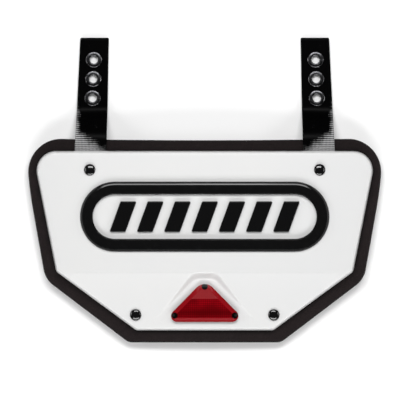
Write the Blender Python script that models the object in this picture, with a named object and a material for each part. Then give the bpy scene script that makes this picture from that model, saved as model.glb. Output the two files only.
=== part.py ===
"""Back plate for football shoulder pads.

A hollow white shell is riveted to a foam pad. It carries a raised badge ring with a row of
bars, and a red reflector in a pocket below the crease. Two straps with eyelets leave the
shell's upper edge and hang the plate from the shoulder pads.

The plate lies on its pad, front up: +Z is the front, +Y runs to the strap tips and +X to the
right. Plan places are measured from the pad's lower edge; the parent empty centres the whole.
Lengths are in metres.
"""
import math

import bmesh
import bpy
from mathutils import Matrix, Vector

# Clearances between neighbours
GAP = 0.0003
HOLE_CLEARANCE = 0.0005
SLOT_CLEARANCE = 0.0006

# Whole plate
OVERALL_LENGTH = 0.2627
BACK_RADIUS = 1.1
CREASE_Y = 0.0600
TUCK_STRAIGHTNESS = 0.5

# Foam pad: widths are between the sharp corners of the outline
PAD_THICKNESS = 0.010
PAD_LENGTH = 0.1746
PAD_TOP_WIDTH = 0.3128
PAD_WAIST_WIDTH = 0.2754
PAD_WAIST_Y = 0.0562
PAD_BOTTOM_WIDTH = 0.1326
PAD_TOP_RADIUS = 0.025
PAD_WAIST_RADIUS = 0.022
PAD_BOTTOM_RADIUS = 0.010
PAD_TOP_DIP = 0.0013
PAD_EDGE_ROUND = 0.0022

# Shell
SHELL_DEPTH = 0.0090
SHELL_DEPTH_BOTTOM = 0.0060
SHELL_WALL = 0.0026
SHELL_TOP_Y = 0.1651
SHELL_BOTTOM_Y = 0.0103
SHELL_TOP_WIDTH = 0.2974
SHELL_WAIST_WIDTH = 0.2560
SHELL_WAIST_Y = 0.0609
SHELL_BOTTOM_WIDTH = 0.1182
SHELL_TOP_RADIUS = 0.0171
SHELL_LOWER_RADIUS = 0.0060
SHELL_EDGE_ROUND = 0.0020
SHELL_DRAFT = 0.18

# Reflector pocket, below the crease
POCKET_TOP_Y = 0.0548
POCKET_BOTTOM_Y = 0.0150
POCKET_TOP_WIDTH = 0.0170
POCKET_DEPTH_TOP = 0.0052
POCKET_DEPTH_BOTTOM = 0.0006
POCKET_FLANK = math.radians(45.5)
POCKET_DRAFT = 0.85

# Reflector
LENS_BOTTOM_Y = 0.0178
LENS_WIDTH = 0.0722
LENS_APEX_RADIUS = 0.0096
LENS_CORNER_RADIUS = 0.0052
LENS_THICKNESS = 0.0046
LENS_BEVEL = 0.0034
LENS_BEVEL_DROP = 0.0018

# Badge ring and the bars inside it
BADGE_Y = 0.1084
BADGE_LENGTH = 0.2145
BADGE_HEIGHT = 0.0604
BADGE_BAND = 0.0112
BADGE_RAISE = 0.0030
BADGE_BEVEL = 0.0018
BAR_COUNT = 7
BAR_ROW_LENGTH = 0.1640
BAR_HEIGHT = 0.0265
BAR_WIDTH = 0.0140
BAR_SLANT = math.radians(20)
BAR_RAISE = 0.0022
BAR_BEVEL = 0.0007
BAR_CORNER_RADIUS = 0.0012

# Straps, mirrored left and right
STRAP_THICKNESS = 0.0020
STRAP_X = 0.0979
STRAP_LEAN = math.radians(1.9)
STRAP_ROOT_WIDTH = 0.0272
STRAP_TIP_WIDTH = 0.0246
STRAP_TAIL = 0.0130
STRAP_LYING_MARGIN = 0.0010
STRAP_TIP_RADIUS = 0.0012

# Eyelets, three in each strap
EYELET_COUNT = 3
EYELET_PITCH = 0.0166
EYELET_FROM_TIP = 0.0188
EYELET_RADIUS = 0.0069
EYELET_HOLE_RADIUS = 0.0035
EYELET_TUBE_WALL = 0.0006
EYELET_FLANGE = 0.0007

# Rivets
RIVET_UPPER_Y = 0.1487
RIVET_LOWER_Y = 0.0239
RIVET_LOWER_X = 0.0594
RIVET_HEAD_RADIUS = 0.0050
RIVET_HEAD_HEIGHT = 0.0024
RIVET_SHANK_RADIUS = 0.0019
RIVET_BACK_RADIUS = 0.0050
RIVET_BACK_THICKNESS = 0.0010
RIVET_BACK_RECESS = 0.0006

# Mesh fineness
STRIPS_ACROSS = 13
STRIPS_BELOW_CREASE = 6
ROUND_SIDES = 16

PLACE_OF_WHOLE = Matrix.Translation((0.0, -OVERALL_LENGTH / 2, 0.0))

# Colours read off the photo: name, colour, roughness, metallic
FINISHES = {
    "shell_white": ((0.80, 0.80, 0.79), 0.32, 0.0),
    "foam_black": ((0.022, 0.017, 0.017), 0.95, 0.0),
    "badge_black": ((0.008, 0.008, 0.008), 0.22, 0.0),
    "reflector_red": ((0.25, 0.003, 0.008), 0.12, 0.0),
    "webbing_black": ((0.008, 0.008, 0.009), 0.60, 0.0),
    "eyelet_metal": ((0.10, 0.10, 0.11), 0.28, 1.0),
    "rivet_black": ((0.006, 0.006, 0.006), 0.18, 0.0),
}


def clear_scene():
    for item in list(bpy.data.objects):
        bpy.data.objects.remove(item, do_unlink=True)


def finish_material(name):
    known = bpy.data.materials.get(name)
    if known:
        return known
    colour, roughness, metallic = FINISHES[name]
    material = bpy.data.materials.new(name)
    material.use_nodes = True
    shader = material.node_tree.nodes["Principled BSDF"]
    shader.inputs["Base Color"].default_value = (*colour, 1.0)
    shader.inputs["Roughness"].default_value = roughness
    shader.inputs["Metallic"].default_value = metallic
    return material


def add_object(name, bm, whole, finish=None):
    """Turn a bmesh into an object under the whole plate; without a finish it is a cutter."""
    bmesh.ops.recalc_face_normals(bm, faces=bm.faces[:])
    mesh = bpy.data.meshes.new(name)
    bm.to_mesh(mesh)
    bm.free()
    item = bpy.data.objects.new(name, mesh)
    bpy.context.scene.collection.objects.link(item)
    item.parent = whole
    if finish:
        mesh.materials.append(finish_material(finish))
        mesh.shade_smooth()
        mesh.set_sharp_from_angle(angle=math.radians(30))
    else:
        item.hide_render = True
        item.display_type = "WIRE"
    return item


def subtract(item, cutter):
    boolean = item.modifiers.new("cut_" + cutter.name, "BOOLEAN")
    boolean.operation = "DIFFERENCE"
    boolean.solver = "EXACT"
    boolean.object = cutter


# Plan outlines

def inset_corners(corners, inset):
    """Move each side of a convex outline in by the inset; corners are (x, y, radius, steps)."""
    moved = []
    count = len(corners)
    for index, (x, y, radius, steps) in enumerate(corners):
        here = Vector((x, y))
        before = (here - Vector(corners[index - 1][:2])).normalized()
        after = (Vector(corners[(index + 1) % count][:2]) - here).normalized()
        inward_before = Vector((-before.y, before.x))
        inward_after = Vector((-after.y, after.x))
        middle = inward_before + inward_after
        place = here + middle * (2 * inset / middle.length_squared)
        moved.append((place.x, place.y, max(radius - inset, radius * 0.1), steps))
    return moved


def outline(corners, inset=0.0):
    """Points round a convex outline, anticlockwise, with an arc at each corner."""
    corners = inset_corners(corners, inset)
    points = []
    count = len(corners)
    for index, (x, y, radius, steps) in enumerate(corners):
        here = Vector((x, y))
        before = (here - Vector(corners[index - 1][:2])).normalized()
        after = (Vector(corners[(index + 1) % count][:2]) - here).normalized()
        turn = -before.angle_signed(after)
        tangent = radius * math.tan(turn / 2)
        centre = here - before * tangent + Vector((-before.y, before.x)) * radius
        start = math.atan2(-before.x, before.y)
        for step in range(steps + 1):
            angle = start + turn * step / steps
            points.append((centre.x + radius * math.cos(angle), centre.y + radius * math.sin(angle)))
    return points


def mirrored_corners(right_half):
    """Corners of a symmetrical outline from those of its right half, bottom first."""
    left_half = [(-x, y, radius, steps) for x, y, radius, steps in reversed(right_half)]
    return right_half + left_half


PAD_CORNERS = mirrored_corners([
    (PAD_BOTTOM_WIDTH / 2, 0.0, PAD_BOTTOM_RADIUS, 3),
    (PAD_WAIST_WIDTH / 2, PAD_WAIST_Y, PAD_WAIST_RADIUS, 5),
    (PAD_TOP_WIDTH / 2, PAD_LENGTH, PAD_TOP_RADIUS, 9),
])
SHELL_CORNERS = mirrored_corners([
    (SHELL_BOTTOM_WIDTH / 2, SHELL_BOTTOM_Y, SHELL_LOWER_RADIUS, 3),
    (SHELL_WAIST_WIDTH / 2, SHELL_WAIST_Y, SHELL_LOWER_RADIUS, 3),
    (SHELL_TOP_WIDTH / 2, SHELL_TOP_Y, SHELL_TOP_RADIUS, 8),
])


# Heights over the floor

def pad_half_width():
    """Half of the pad's real width, which the round upper corners set."""
    right = PAD_CORNERS[:3]
    return max(x for x, _ in outline(mirrored_corners(right)))


PAD_HALF_WIDTH = pad_half_width()
CROWN = PAD_HALF_WIDTH ** 2 / (2 * BACK_RADIUS)
TUCK = CROWN - (PAD_BOTTOM_WIDTH / 2) ** 2 / (2 * BACK_RADIUS)


def below_crease(y, bottom):
    """0 at the crease and above it, 1 at the given lower edge."""
    return min(max((CREASE_Y - y) / (CREASE_Y - bottom), 0.0), 1.0)


def pad_back(x, y):
    """The pad's back: an arch across the wearer's back that tucks in below the crease."""
    share = below_crease(y, 0.0)
    easing = TUCK_STRAIGHTNESS * share + (1 - TUCK_STRAIGHTNESS) * (1 - (1 - share) ** 2)
    return CROWN - x * x / (2 * BACK_RADIUS) - TUCK * easing


def pad_front(x, y):
    return pad_back(x, y) + PAD_THICKNESS


def shell_depth(y):
    share = below_crease(y, SHELL_BOTTOM_Y)
    return SHELL_DEPTH - (SHELL_DEPTH - SHELL_DEPTH_BOTTOM) * (1 - (1 - share) ** 2)


def shell_front(x, y):
    return pad_front(x, y) + GAP + shell_depth(y)


def surface_normal(surface, x, y):
    step = 0.001
    slope_x = (surface(x + step, y) - surface(x - step, y)) / (2 * step)
    slope_y = (surface(x, y + step) - surface(x, y - step)) / (2 * step)
    return Vector((-slope_x, -slope_y, 1.0)).normalized()


def seat_on(surface, x, y):
    """A place on a surface whose own +Z is the surface's normal there."""
    turn = surface_normal(surface, x, y).to_track_quat("Z", "Y").to_matrix().to_4x4()
    return Matrix.Translation((x, y, surface(x, y))) @ turn


# Solids

def loft(rings, closed=False):
    """A solid skinned over rings of points; closed joins the last ring to the first."""
    bm = bmesh.new()
    rows = [[bm.verts.new(point) for point in ring] for ring in rings]
    count = len(rows[0])
    pairs = list(zip(rows, rows[1:]))
    if closed:
        pairs.append((rows[-1], rows[0]))
    for lower, upper in pairs:
        for index in range(count):
            after = (index + 1) % count
            bm.faces.new((lower[index], lower[after], upper[after], upper[index]))
    if not closed:
        bm.faces.new(rows[0][::-1])
        bm.faces.new(rows[-1])
    return bm


def level_ring(points, z):
    return [(x, y, z) for x, y in points]


def turned(profile, closed=False, sides=ROUND_SIDES):
    """A solid of revolution about Z from (radius, height) pairs."""
    rings = []
    for radius, z in profile:
        angles = [2 * math.pi * side / sides for side in range(sides)]
        rings.append([(radius * math.cos(a), radius * math.sin(a), z) for a in angles])
    return loft(rings, closed)


def cut_on_grid(bm):
    """Edges along the lines on which the arch and the tuck bend."""
    width = 2 * PAD_HALF_WIDTH / STRIPS_ACROSS
    lines = [((width * (index + 1 - STRIPS_ACROSS / 2), 0, 0), (1, 0, 0))
             for index in range(STRIPS_ACROSS - 1)]
    lines += [((0, CREASE_Y * (1 - index / STRIPS_BELOW_CREASE), 0), (0, 1, 0))
              for index in range(STRIPS_BELOW_CREASE)]
    for place, normal in lines:
        bmesh.ops.bisect_plane(bm, geom=bm.verts[:] + bm.edges[:] + bm.faces[:],
                               dist=1e-6, plane_co=place, plane_no=normal)


def drape(bm, surface):
    """Lift each point by the surface's height under it."""
    for vert in bm.verts:
        vert.co.z += surface(vert.co.x, vert.co.y)


def shell_form(wall):
    """The shell's outer form, or its hollow when wall is its thickness."""
    reach = PAD_THICKNESS
    shoulder = SHELL_DEPTH - wall - SHELL_EDGE_ROUND
    side = SHELL_DRAFT * shoulder
    levels = [
        (wall - SHELL_DRAFT * reach, -reach),
        (wall + side, shoulder),
        (wall + side + SHELL_EDGE_ROUND * 0.4, shoulder + SHELL_EDGE_ROUND * 0.75),
        (wall + side + SHELL_EDGE_ROUND, SHELL_DEPTH - wall),
    ]
    bm = loft([level_ring(outline(SHELL_CORNERS, inset), z) for inset, z in levels])
    cut_on_grid(bm)
    for vert in bm.verts:
        if vert.co.z > 0:
            vert.co.z *= (shell_depth(vert.co.y) - wall) / (SHELL_DEPTH - wall)
    drape(bm, lambda x, y: pad_front(x, y) + GAP)
    return bm


def pocket_floor(y):
    """Height of the pocket's flat floor, a plane that meets the lower field near its end."""
    top = shell_front(0, POCKET_TOP_Y) - POCKET_DEPTH_TOP
    bottom = shell_front(0, POCKET_BOTTOM_Y) - POCKET_DEPTH_BOTTOM
    return top + (bottom - top) * (POCKET_TOP_Y - y) / (POCKET_TOP_Y - POCKET_BOTTOM_Y)


def pocket_form(wall):
    """The pocket with drafted walls; wall grows it to the form that the hollow must clear."""
    length = POCKET_TOP_Y - POCKET_BOTTOM_Y
    bottom_half = POCKET_TOP_WIDTH / 2 + length / math.tan(POCKET_FLANK)
    corners = mirrored_corners([
        (bottom_half, POCKET_BOTTOM_Y, 0.001, 2),
        (POCKET_TOP_WIDTH / 2, POCKET_TOP_Y, 0.002, 3),
    ])
    height = 2 * SHELL_DEPTH
    rings = []
    for rise, inset in ((-wall, -wall), (height, -wall - POCKET_DRAFT * height)):
        points = outline(corners, inset)
        rings.append([(x, y, pocket_floor(y) + rise) for x, y in points])
    return loft(rings)


def under_pad_front():
    """A slab up to the pad's front, which trims the shell's rim to sit on the pad."""
    half = PAD_TOP_WIDTH / 2
    corners = [(-half, 0.0), (half, 0.0), (half, PAD_LENGTH), (-half, PAD_LENGTH)]
    bm = loft([level_ring(corners, z) for z in (-SHELL_DEPTH - PAD_THICKNESS, GAP)])
    cut_on_grid(bm)
    drape(bm, pad_front)
    return bm


def stadium(length, height, inset):
    """Points round a slot shape centred on the badge."""
    radius = height / 2 - inset
    reach = (length - height) / 2
    steps = 12
    points = []
    for side, start in ((1, -math.pi / 2), (-1, math.pi / 2)):
        for step in range(steps + 1):
            angle = start + math.pi * step / steps
            points.append((side * reach + radius * math.cos(angle), BADGE_Y + radius * math.sin(angle)))
    return points


# Straps

def strap_x(y):
    """The strap's centre line, which leans inward on its way up."""
    return STRAP_X - (y - PAD_LENGTH) * math.tan(STRAP_LEAN)


def strap_half_width(y):
    share = min(max((y - PAD_LENGTH) / (OVERALL_LENGTH - PAD_LENGTH), 0.0), 1.0)
    return (STRAP_ROOT_WIDTH + (STRAP_TIP_WIDTH - STRAP_ROOT_WIDTH) * share) / 2


def strap_descent():
    """How far the strap takes from the pad's edge down to where the eyelets need it flat."""
    lowest_eyelet = OVERALL_LENGTH - EYELET_FROM_TIP - EYELET_PITCH * (EYELET_COUNT - 1)
    return lowest_eyelet - EYELET_RADIUS - STRAP_LYING_MARGIN - PAD_LENGTH


def strap_under(x, y):
    """The strap's underside: on the pad, then down to lie over the eyelets' back flanges."""
    share = min(max((y - PAD_LENGTH) / strap_descent(), 0.0), 1.0)
    eased = share * share * (3 - 2 * share)
    lying = EYELET_FLANGE + GAP
    return (1 - eased) * (pad_front(x, y) + GAP) + eased * lying


def strap_stations():
    root = RIVET_UPPER_Y - STRAP_TAIL
    on_pad = [root + (PAD_LENGTH - root) * step / 4 for step in range(4)]
    down = [PAD_LENGTH + strap_descent() * step / 12 for step in range(13)]
    return on_pad + down + [OVERALL_LENGTH - STRAP_TIP_RADIUS, OVERALL_LENGTH]


def strap_form(side, clearance=0.0):
    """One strap, or with a clearance the room that it needs."""
    rings = []
    step = 0.0005
    for y in strap_stations():
        centre = strap_x(y)
        half = strap_half_width(y) + clearance
        if y == OVERALL_LENGTH:
            half -= STRAP_TIP_RADIUS
        under = []
        over = []
        for across in (-1, 0, 1):
            x = centre + across * half
            slope = (strap_under(x, y + step) - strap_under(x, y - step)) / (2 * step)
            normal = Vector((0, -slope, 1)).normalized()
            foot = Vector((side * x, y, strap_under(x, y)))
            under.append(foot - normal * clearance)
            over.append(foot + normal * (STRAP_THICKNESS + clearance))
        rings.append(under + over[::-1])
    return loft(rings)


def eyelet_places(side):
    """The centres of one strap's eyelets, tip first."""
    ys = [OVERALL_LENGTH - EYELET_FROM_TIP - EYELET_PITCH * index for index in range(EYELET_COUNT)]
    return [(side * strap_x(y), y) for y in ys]


def eyelet_form():
    """A grommet with a flat flange on both faces of the strap, its hole right through."""
    top = EYELET_FLANGE * 2 + STRAP_THICKNESS + GAP * 2
    tube = EYELET_HOLE_RADIUS + EYELET_TUBE_WALL
    edge = EYELET_FLANGE * 0.4
    profile = [
        (EYELET_HOLE_RADIUS, edge),
        (EYELET_HOLE_RADIUS + edge, 0.0),
        (EYELET_RADIUS, 0.0),
        (EYELET_RADIUS, EYELET_FLANGE),
        (tube, EYELET_FLANGE),
        (tube, top - EYELET_FLANGE),
        (EYELET_RADIUS, top - EYELET_FLANGE),
        (EYELET_RADIUS - edge, top),
        (EYELET_HOLE_RADIUS + edge, top),
        (EYELET_HOLE_RADIUS, top - edge),
    ]
    return turned(profile, closed=True)


# Rivets

def rivet_places():
    """Name, x and y of each rivet; the upper two go through the straps."""
    upper_x = strap_x(RIVET_UPPER_Y)
    return [
        ("rivet_upper_left", -upper_x, RIVET_UPPER_Y),
        ("rivet_upper_right", upper_x, RIVET_UPPER_Y),
        ("rivet_lower_left", -RIVET_LOWER_X, RIVET_LOWER_Y),
        ("rivet_lower_right", RIVET_LOWER_X, RIVET_LOWER_Y),
    ]


def rivet_length(y):
    """From the shell's front down to the rivet's back face, which is sunk in the foam."""
    return shell_depth(y) + GAP + PAD_THICKNESS - RIVET_BACK_RECESS


def rivet_form(y):
    """A domed head, a plain shank and a flat back flange in one piece."""
    bottom = -rivet_length(y)
    dome = []
    for degrees in (0, 20, 40, 60, 78):
        angle = math.radians(degrees)
        dome.append((RIVET_HEAD_RADIUS * math.cos(angle), GAP + RIVET_HEAD_HEIGHT * math.sin(angle)))
    profile = [
        (RIVET_BACK_RADIUS, bottom),
        (RIVET_BACK_RADIUS, bottom + RIVET_BACK_THICKNESS),
        (RIVET_SHANK_RADIUS, bottom + RIVET_BACK_THICKNESS),
        (RIVET_SHANK_RADIUS, GAP),
    ] + dome
    return turned(profile)


def rivet_room(y):
    """What is drilled for a rivet: a clear hole and the flange's recess in the foam's back."""
    depth = rivet_length(y)
    ledge = -depth + RIVET_BACK_THICKNESS + HOLE_CLEARANCE
    hole = RIVET_SHANK_RADIUS + HOLE_CLEARANCE
    recess = RIVET_BACK_RADIUS + 2 * HOLE_CLEARANCE
    profile = [
        (recess, -depth - PAD_THICKNESS),
        (recess, ledge),
        (hole, ledge),
        (hole, SHELL_DEPTH),
    ]
    return turned(profile)


# The pieces

def make_rivets(whole):
    """The four rivets, and the cutters that drill their holes."""
    rooms = []
    for name, x, y in rivet_places():
        seat = seat_on(shell_front, x, y)
        rivet = add_object(name, rivet_form(y), whole, "rivet_black")
        rivet.matrix_local = seat
        room = add_object(name + "_room", rivet_room(y), whole)
        room.matrix_local = seat
        rooms.append(room)
    return rooms


def make_foam_pad(whole, rivet_rooms):
    levels = [
        (PAD_EDGE_ROUND * 0.5, 0.0),
        (0.0, PAD_EDGE_ROUND * 0.5),
        (0.0, PAD_THICKNESS - PAD_EDGE_ROUND),
        (PAD_EDGE_ROUND * 0.3, PAD_THICKNESS - PAD_EDGE_ROUND * 0.3),
        (PAD_EDGE_ROUND, PAD_THICKNESS),
    ]
    bm = loft([level_ring(outline(PAD_CORNERS, inset), z) for inset, z in levels])
    cut_on_grid(bm)
    top_half = PAD_TOP_WIDTH / 2 - PAD_TOP_RADIUS
    for vert in bm.verts:
        if vert.co.y > PAD_LENGTH - 2 * PAD_EDGE_ROUND and abs(vert.co.x) < top_half:
            vert.co.y -= PAD_TOP_DIP * (1 - (vert.co.x / top_half) ** 2)
    drape(bm, pad_back)
    pad = add_object("foam_pad", bm, whole, "foam_black")
    for room in rivet_rooms:
        subtract(pad, room)


def make_back_shell(whole, rivet_rooms):
    shell = add_object("back_shell", shell_form(0.0), whole, "shell_white")
    hollow = add_object("shell_hollow", shell_form(SHELL_WALL), whole)
    subtract(hollow, add_object("pocket_with_wall", pocket_form(SHELL_WALL), whole))
    subtract(shell, add_object("pocket", pocket_form(0.0), whole))
    subtract(shell, hollow)
    subtract(shell, add_object("pad_front_trim", under_pad_front(), whole))
    for side, name in ((-1, "strap_left_room"), (1, "strap_right_room")):
        subtract(shell, add_object(name, strap_form(side, SLOT_CLEARANCE), whole))
    for room in rivet_rooms:
        subtract(shell, room)


def make_badge(whole):
    """The raised ring, and the plain slanted bars inside it."""
    section = [
        (0.0, 0.0),
        (BADGE_BEVEL * 0.4, BADGE_RAISE - BADGE_BEVEL),
        (BADGE_BEVEL * 1.4, BADGE_RAISE),
        (BADGE_BAND - BADGE_BEVEL * 1.4, BADGE_RAISE),
        (BADGE_BAND - BADGE_BEVEL * 0.4, BADGE_RAISE - BADGE_BEVEL),
        (BADGE_BAND, 0.0),
    ]
    bm = loft([level_ring(stadium(BADGE_LENGTH, BADGE_HEIGHT, inset), z + GAP) for inset, z in section],
              closed=True)
    cut_on_grid(bm)
    drape(bm, shell_front)
    add_object("badge_ring", bm, whole, "badge_black")
    lean = BAR_HEIGHT * math.tan(BAR_SLANT) / 2
    pitch = (BAR_ROW_LENGTH - BAR_WIDTH - 2 * lean) / (BAR_COUNT - 1)
    for index in range(BAR_COUNT):
        x = (index - (BAR_COUNT - 1) / 2) * pitch
        corners = []
        for across, up in ((-1, -1), (1, -1), (1, 1), (-1, 1)):
            corners.append((x + across * BAR_WIDTH / 2 + up * lean, BADGE_Y + up * BAR_HEIGHT / 2,
                            BAR_CORNER_RADIUS, 3))
        levels = [(0.0, 0.0), (0.0, BAR_RAISE - BAR_BEVEL), (BAR_BEVEL, BAR_RAISE)]
        bm = loft([level_ring(outline(corners, inset), z + GAP) for inset, z in levels])
        cut_on_grid(bm)
        drape(bm, shell_front)
        add_object(f"badge_bar_{index + 1}", bm, whole, "badge_black")


def make_reflector(whole):
    """A flat bevelled triangle that stands on the pocket's floor."""
    half = LENS_WIDTH / 2
    apex = LENS_BOTTOM_Y + half * math.tan(POCKET_FLANK)
    corners = [
        (half, LENS_BOTTOM_Y, LENS_CORNER_RADIUS, 5),
        (0.0, apex, LENS_APEX_RADIUS, 7),
        (-half, LENS_BOTTOM_Y, LENS_CORNER_RADIUS, 5),
    ]
    levels = [(0.0, 0.0), (0.0, LENS_THICKNESS - LENS_BEVEL_DROP), (LENS_BEVEL, LENS_THICKNESS)]
    rings = []
    for inset, rise in levels:
        rings.append([(x, y, pocket_floor(y) + GAP + rise) for x, y in outline(corners, inset)])
    add_object("reflector", loft(rings), whole, "reflector_red")


def make_straps(whole, rivet_rooms):
    for side, name in ((-1, "left"), (1, "right")):
        strap = add_object("strap_" + name, strap_form(side), whole, "webbing_black")
        for room in rivet_rooms:
            if name in room.name and "upper" in room.name:
                subtract(strap, room)
        for index, (x, y) in enumerate(eyelet_places(side)):
            label = f"eyelet_{name}_{index + 1}"
            eyelet = add_object(label, eyelet_form(), whole, "eyelet_metal")
            eyelet.location = (x, y, 0.0)
            hole = EYELET_HOLE_RADIUS + EYELET_TUBE_WALL + GAP
            punch = add_object(label + "_room", turned([(hole, -0.01), (hole, 0.01)]), whole)
            punch.location = (x, y, 0.0)
            subtract(strap, punch)


def main():
    clear_scene()
    whole = bpy.data.objects.new("back_plate", None)
    whole.matrix_world = PLACE_OF_WHOLE
    bpy.context.scene.collection.objects.link(whole)
    rivet_rooms = make_rivets(whole)
    make_foam_pad(whole, rivet_rooms)
    make_back_shell(whole, rivet_rooms)
    make_badge(whole)
    make_reflector(whole)
    make_straps(whole, rivet_rooms)


main()
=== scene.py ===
"""Football back plate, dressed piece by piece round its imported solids.

Each piece is modelled again at the fineness that a close view needs, in the place of the solid
that it stands for: a moulded white shell on a foam sheet, a black badge ring with raised bars,
a red reflector, coated webbing straps with rolled grommets, and domed rivets. The plate lies
front up on a pale studio floor.

Pieces are laid out flat on a plan that starts at the pad's lower edge, then bent over the
wearer's back and moved to their place. Lengths are in metres.
"""

import math

import bmesh
import bpy
import numpy as np
from bpy.props import FloatProperty, FloatVectorProperty, IntProperty, PointerProperty
from mathutils import Matrix, Vector


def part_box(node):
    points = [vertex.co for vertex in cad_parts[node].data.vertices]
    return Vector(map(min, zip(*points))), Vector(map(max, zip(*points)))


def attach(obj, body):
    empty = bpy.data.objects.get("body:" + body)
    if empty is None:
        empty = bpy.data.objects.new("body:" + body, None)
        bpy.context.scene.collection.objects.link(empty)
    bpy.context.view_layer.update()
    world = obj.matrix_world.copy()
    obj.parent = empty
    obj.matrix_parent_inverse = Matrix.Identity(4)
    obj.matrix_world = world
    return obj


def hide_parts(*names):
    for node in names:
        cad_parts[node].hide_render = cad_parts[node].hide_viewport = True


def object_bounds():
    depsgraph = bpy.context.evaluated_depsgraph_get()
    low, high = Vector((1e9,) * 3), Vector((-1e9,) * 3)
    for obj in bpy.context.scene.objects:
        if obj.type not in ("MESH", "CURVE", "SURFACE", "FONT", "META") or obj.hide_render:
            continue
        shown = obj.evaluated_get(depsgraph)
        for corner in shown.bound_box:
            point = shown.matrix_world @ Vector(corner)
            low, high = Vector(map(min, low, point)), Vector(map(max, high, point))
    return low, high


bl_info = {
    "name": "Football Back Plate",
    "version": (1, 0, 0),
    "blender": (4, 5, 0),
    "location": "View3D > Sidebar > Back Plate",
    "description": "Models a football back plate, piece by piece, on its packed frame",
    "category": "Add Mesh",
}

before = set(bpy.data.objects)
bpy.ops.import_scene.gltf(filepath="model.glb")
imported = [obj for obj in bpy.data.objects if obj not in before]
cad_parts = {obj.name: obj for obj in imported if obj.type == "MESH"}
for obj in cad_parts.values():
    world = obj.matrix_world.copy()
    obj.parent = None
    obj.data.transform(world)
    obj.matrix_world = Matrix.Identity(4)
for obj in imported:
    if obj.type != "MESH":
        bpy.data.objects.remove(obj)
CAD_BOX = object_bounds()
MM = 0.001

# The plan's origin and what its pieces keep between them
FOOT_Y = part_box("foam_pad")[0].y
GAP = 0.3 * MM
OVERALL_LENGTH = CAD_BOX[1].y - CAD_BOX[0].y

# How the plate bends
BACK_RADIUS = 1.1
CREASE_Y = 60.0 * MM
TUCK_STRAIGHTNESS = 0.5

# Foam pad, between the sharp corners of its outline
PAD_THICKNESS = 10.0 * MM
PAD_LENGTH = 174.6 * MM
PAD_TOP_WIDTH = 310.2 * MM
PAD_SHOULDER = (300.5 * MM, 127.1 * MM)
PAD_WAIST = (274.6 * MM, 54.4 * MM)
PAD_BOTTOM_WIDTH = 131.4 * MM
PAD_TOP_RISE = 0.9 * MM
PAD_TOP_DIP = 1.4 * MM

# Shell
SHELL_DEPTH = 9.0 * MM
SHELL_DEPTH_BOTTOM = 6.0 * MM
SHELL_WALL = 2.6 * MM
SHELL_TOP = (297.4 * MM, 165.1 * MM)
SHELL_WAIST = (256.0 * MM, 60.9 * MM)
SHELL_BOTTOM = (118.2 * MM, 10.3 * MM)
SHELL_DRAFT = 0.18

# Reflector pocket
POCKET_TOP_Y = 54.8 * MM
POCKET_BOTTOM_Y = 15.0 * MM
POCKET_TOP_WIDTH = 17.0 * MM
POCKET_DEPTH_TOP = 5.2 * MM
POCKET_DEPTH_BOTTOM = 0.6 * MM
POCKET_FLANK = math.radians(45.5)
POCKET_DRAFT = 0.85

# Reflector
LENS_BOTTOM_Y = 17.8 * MM
LENS_WIDTH = 72.2 * MM
LENS_THICKNESS = 4.6 * MM
LENS_FACET_Y = 37.6 * MM
LENS_FACET_FALL = 0.16
LENS_POST = (25.9 * MM, 23.4 * MM)
LENS_TIP_Y = 48.3 * MM
LENS_SPOT_RADIUS = 2.7 * MM

# Badge
BADGE_BAND = 11.2 * MM
BADGE_RAISE = 3.0 * MM
BADGE_BEVEL = 1.8 * MM
BAR_COUNT = 7
BAR_ROW_LENGTH = 164.0 * MM
BAR_WIDTH = 14.0 * MM
BAR_HEIGHT = 26.5 * MM
BAR_SLANT = math.radians(20)
BAR_RAISE = 2.2 * MM

# Straps
STRAP_THICKNESS = 2.0 * MM
STRAP_X = 97.9 * MM
STRAP_LEAN = math.radians(1.9)
STRAP_ROOT_WIDTH = 27.2 * MM
STRAP_TIP_WIDTH = 24.6 * MM
STRAP_ROOT_Y = 135.7 * MM
STRAP_FLAT_Y = 202.8 * MM

# Eyelets and rivets
EYELET_FLANGE = 0.7 * MM
EYELET_HOLE_RADIUS = 3.5 * MM
EYELET_TUBE_WALL = 0.6 * MM
RIVET_UPPER_Y = 148.7 * MM
RIVET_LOWER = (59.4 * MM, 23.9 * MM)
RIVET_HEAD_RADIUS = 5.0 * MM
RIVET_HEAD_HEIGHT = 2.4 * MM
RIVET_SHANK_RADIUS = 1.9 * MM
RIVET_BACK_RECESS = 0.6 * MM
RIVET_BACK_THICKNESS = 1.0 * MM

# The photograph's frame, 416 pixels square
PHOTO_PIXELS = 416
MM_PER_PIXEL = 0.86
PIXEL_OF_AXIS = 204.7
PIXEL_OF_MIDDLE = 189.95
CAMERA_HEIGHT = 6.0
SENSOR_WIDTH = 36.0

# Area lights: name, place, size and watts
LIGHTS = (
    ("key_light", (0.0, 0.95, 1.65), (1.7, 0.6), 33.0),
    ("fill_light", (0.0, -1.6, 0.95), (2.0, 0.7), 30.0),
    ("left_light", (-1.9, 0.0, 1.0), (1.2, 0.5), 9.0),
    ("right_light", (1.9, 0.0, 1.0), (1.2, 0.5), 9.0),
    ("window_light", (0.03, 0.24, 0.34), (0.13, 0.07), 0.12),
)


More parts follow.
